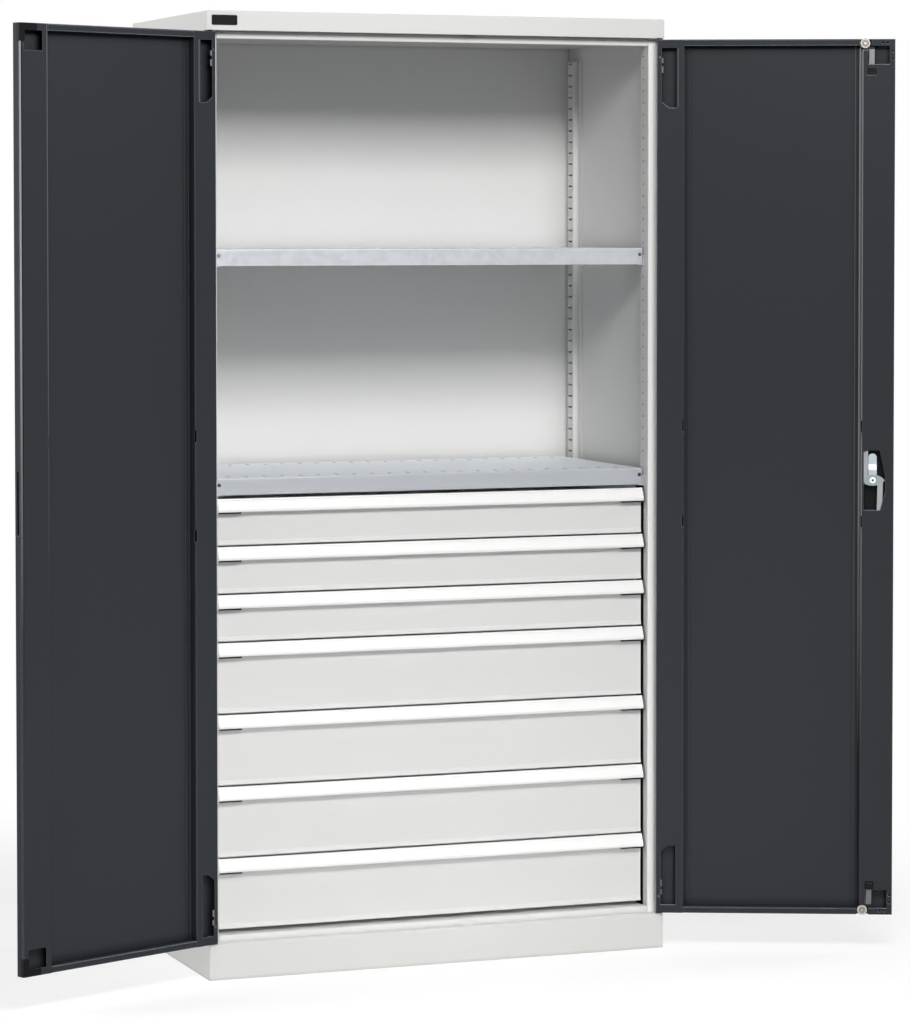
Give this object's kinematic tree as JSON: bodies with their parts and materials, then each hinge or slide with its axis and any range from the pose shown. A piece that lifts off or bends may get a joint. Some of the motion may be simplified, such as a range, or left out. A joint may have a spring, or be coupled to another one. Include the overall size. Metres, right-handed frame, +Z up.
{
  "type": "hinged door cabinet",
  "caption": "Tall sheet-metal storage cabinet with hinged double doors, shelves above, a bank of telescopic drawers below and a rod lock.",
  "frame": {"origin": "centre of the cabinet's footprint, on the floor", "axes": "+X to the right as seen from the front, +Y towards the back, +Z up; the doors open towards -Y"},
  "size_m": [1.9399, 0.763, 2],
  "materials": {
    "body_paint": "satin light grey powder coat",
    "drawer_paint": "satin light grey powder coat",
    "door_paint": "satin anthracite powder coat",
    "strip_paint": "black coated uprights",
    "galvanised": "galvanised sheet, dull",
    "zinc_steel": "zinc plated",
    "chrome_lock": "polished",
    "grip_aluminium": "matt coated extrusion",
    "black_plastic": "fine grain",
    "cream_plastic": "smooth nylon"
  },
  "bodies": {
    "cabinet": {"top_cap": "body_paint", "plinth": "body_paint", "right_side_panel": "body_paint", "left_side_panel": "body_paint", "back_panel": "body_paint", "floor_deck": "body_paint", "ceiling_panel": "body_paint", "rear_posts": "body_paint", "shelves": "galvanised", "shelf_clips": "galvanised", "badge_plate": "black_plastic", "hinge_bushes": "black_plastic", "fixed_runners": "galvanised", "runner_strips": "strip_paint"},
    "left_door": {"left_door_skin": "door_paint", "left_door_hinge_channel": "door_paint", "left_door_free_channel": "door_paint", "left_door_hinge_pins": "zinc_steel", "left_door_corner_blocks": "black_plastic"},
    "right_door": {"right_door_skin": "door_paint", "right_door_hinge_channel": "door_paint", "right_door_lock_channel": "door_paint", "right_door_hinge_pins": "zinc_steel", "lock_housing": "black_plastic", "rod_guides": "black_plastic"},
    "handle": {"wing_handle": "black_plastic", "latch": "zinc_steel"},
    "lock_plug": {"lock_plug": "chrome_lock"},
    "upper_rod": {"upper_rod": "zinc_steel"},
    "lower_rod": {"lower_rod": "zinc_steel"},
    "upper_roller": {"upper_roller": "cream_plastic"},
    "lower_roller": {"lower_roller": "cream_plastic"},
    "drawer_1": {"drawer_1_tray": "drawer_paint", "drawer_1_grip": "grip_aluminium", "drawer_1_grip_ends": "black_plastic"},
    "drawer_1_runners": {"drawer_1_runners": "zinc_steel"},
    "drawer_2": {"drawer_2_tray": "drawer_paint", "drawer_2_grip": "grip_aluminium", "drawer_2_grip_ends": "black_plastic"},
    "drawer_2_runners": {"drawer_2_runners": "zinc_steel"},
    "drawer_3": {"drawer_3_tray": "drawer_paint", "drawer_3_grip": "grip_aluminium", "drawer_3_grip_ends": "black_plastic"},
    "drawer_3_runners": {"drawer_3_runners": "zinc_steel"},
    "drawer_4": {"drawer_4_tray": "drawer_paint", "drawer_4_grip": "grip_aluminium", "drawer_4_grip_ends": "black_plastic"},
    "drawer_4_runners": {"drawer_4_runners": "zinc_steel"},
    "drawer_5": {"drawer_5_tray": "drawer_paint", "drawer_5_grip": "grip_aluminium", "drawer_5_grip_ends": "black_plastic"},
    "drawer_5_runners": {"drawer_5_runners": "zinc_steel"},
    "drawer_6": {"drawer_6_tray": "drawer_paint", "drawer_6_grip": "grip_aluminium", "drawer_6_grip_ends": "black_plastic"},
    "drawer_6_runners": {"drawer_6_runners": "zinc_steel"},
    "drawer_7": {"drawer_7_tray": "drawer_paint", "drawer_7_grip": "grip_aluminium", "drawer_7_grip_ends": "black_plastic"},
    "drawer_7_runners": {"drawer_7_runners": "zinc_steel"}
  },
  "joints": [
    {"name": "right_door_hinge", "type": "hinge", "parent": "cabinet", "child": "right_door", "pos_m": [0.504, -0.27, 1], "axis": [0, 0, 1], "range_deg": [-156.3, 23.7]},
    {"name": "left_door_hinge", "type": "hinge", "parent": "cabinet", "child": "left_door", "pos_m": [-0.504, -0.27, 1], "axis": [0, 0, -1], "range_deg": [-156.3, 23.7]},
    {"name": "handle_turn", "type": "hinge", "parent": "right_door", "child": "handle", "pos_m": [0.9252, -0.4467, 1.0137], "axis": [0.4019, 0.9157, 0], "range_deg": [0, 90]},
    {"name": "lock_plug_turn", "type": "hinge", "parent": "handle", "child": "lock_plug", "pos_m": [0.93123, -0.43297, 1.0137], "axis": [0.4019, 0.9157, 0], "range_deg": [0, 90]},
    {"name": "upper_rod_slide", "type": "slide", "parent": "right_door", "child": "upper_rod", "axis": [0, 0, 1], "range_m": [0, 0.015]},
    {"name": "lower_rod_slide", "type": "slide", "parent": "right_door", "child": "lower_rod", "axis": [0, 0, -1], "range_m": [0, 0.015]},
    {"name": "upper_roller_spin", "type": "hinge", "parent": "upper_rod", "child": "upper_roller", "pos_m": [0.90078, -0.45455, 1.9477], "axis": [0.4019, 0.9157, 0], "continuous": true},
    {"name": "lower_roller_spin", "type": "hinge", "parent": "lower_rod", "child": "lower_roller", "pos_m": [0.90078, -0.45455, 0.0863], "axis": [0.4019, 0.9157, 0], "continuous": true},
    {"name": "drawer_1_slide", "type": "slide", "parent": "cabinet", "child": "drawer_1", "axis": [0, -1, 0], "range_m": [0, 0.45]},
    {"name": "drawer_1_runner_slide", "type": "slide", "parent": "cabinet", "child": "drawer_1_runners", "axis": [0, -1, 0], "range_m": [0, 0.225]},
    {"name": "drawer_2_slide", "type": "slide", "parent": "cabinet", "child": "drawer_2", "axis": [0, -1, 0], "range_m": [0, 0.45]},
    {"name": "drawer_2_runner_slide", "type": "slide", "parent": "cabinet", "child": "drawer_2_runners", "axis": [0, -1, 0], "range_m": [0, 0.225]},
    {"name": "drawer_3_slide", "type": "slide", "parent": "cabinet", "child": "drawer_3", "axis": [0, -1, 0], "range_m": [0, 0.45]},
    {"name": "drawer_3_runner_slide", "type": "slide", "parent": "cabinet", "child": "drawer_3_runners", "axis": [0, -1, 0], "range_m": [0, 0.225]},
    {"name": "drawer_4_slide", "type": "slide", "parent": "cabinet", "child": "drawer_4", "axis": [0, -1, 0], "range_m": [0, 0.45]},
    {"name": "drawer_4_runner_slide", "type": "slide", "parent": "cabinet", "child": "drawer_4_runners", "axis": [0, -1, 0], "range_m": [0, 0.225]},
    {"name": "drawer_5_slide", "type": "slide", "parent": "cabinet", "child": "drawer_5", "axis": [0, -1, 0], "range_m": [0, 0.45]},
    {"name": "drawer_5_runner_slide", "type": "slide", "parent": "cabinet", "child": "drawer_5_runners", "axis": [0, -1, 0], "range_m": [0, 0.225]},
    {"name": "drawer_6_slide", "type": "slide", "parent": "cabinet", "child": "drawer_6", "axis": [0, -1, 0], "range_m": [0, 0.45]},
    {"name": "drawer_6_runner_slide", "type": "slide", "parent": "cabinet", "child": "drawer_6_runners", "axis": [0, -1, 0], "range_m": [0, 0.225]},
    {"name": "drawer_7_slide", "type": "slide", "parent": "cabinet", "child": "drawer_7", "axis": [0, -1, 0], "range_m": [0, 0.45]},
    {"name": "drawer_7_runner_slide", "type": "slide", "parent": "cabinet", "child": "drawer_7_runners", "axis": [0, -1, 0], "range_m": [0, 0.225]}
  ],
  "couplings": [
    {"joint": "upper_rod_slide", "follows": "handle_turn", "m_per_rad": 0.0095493},
    {"joint": "lower_rod_slide", "follows": "handle_turn", "m_per_rad": 0.0095493},
    {"joint": "drawer_1_runner_slide", "follows": "drawer_1_slide", "ratio": 0.5},
    {"joint": "drawer_2_runner_slide", "follows": "drawer_2_slide", "ratio": 0.5},
    {"joint": "drawer_3_runner_slide", "follows": "drawer_3_slide", "ratio": 0.5},
    {"joint": "drawer_4_runner_slide", "follows": "drawer_4_slide", "ratio": 0.5},
    {"joint": "drawer_5_runner_slide", "follows": "drawer_5_slide", "ratio": 0.5},
    {"joint": "drawer_6_runner_slide", "follows": "drawer_6_slide", "ratio": 0.5},
    {"joint": "drawer_7_runner_slide", "follows": "drawer_7_slide", "ratio": 0.5}
  ]
}
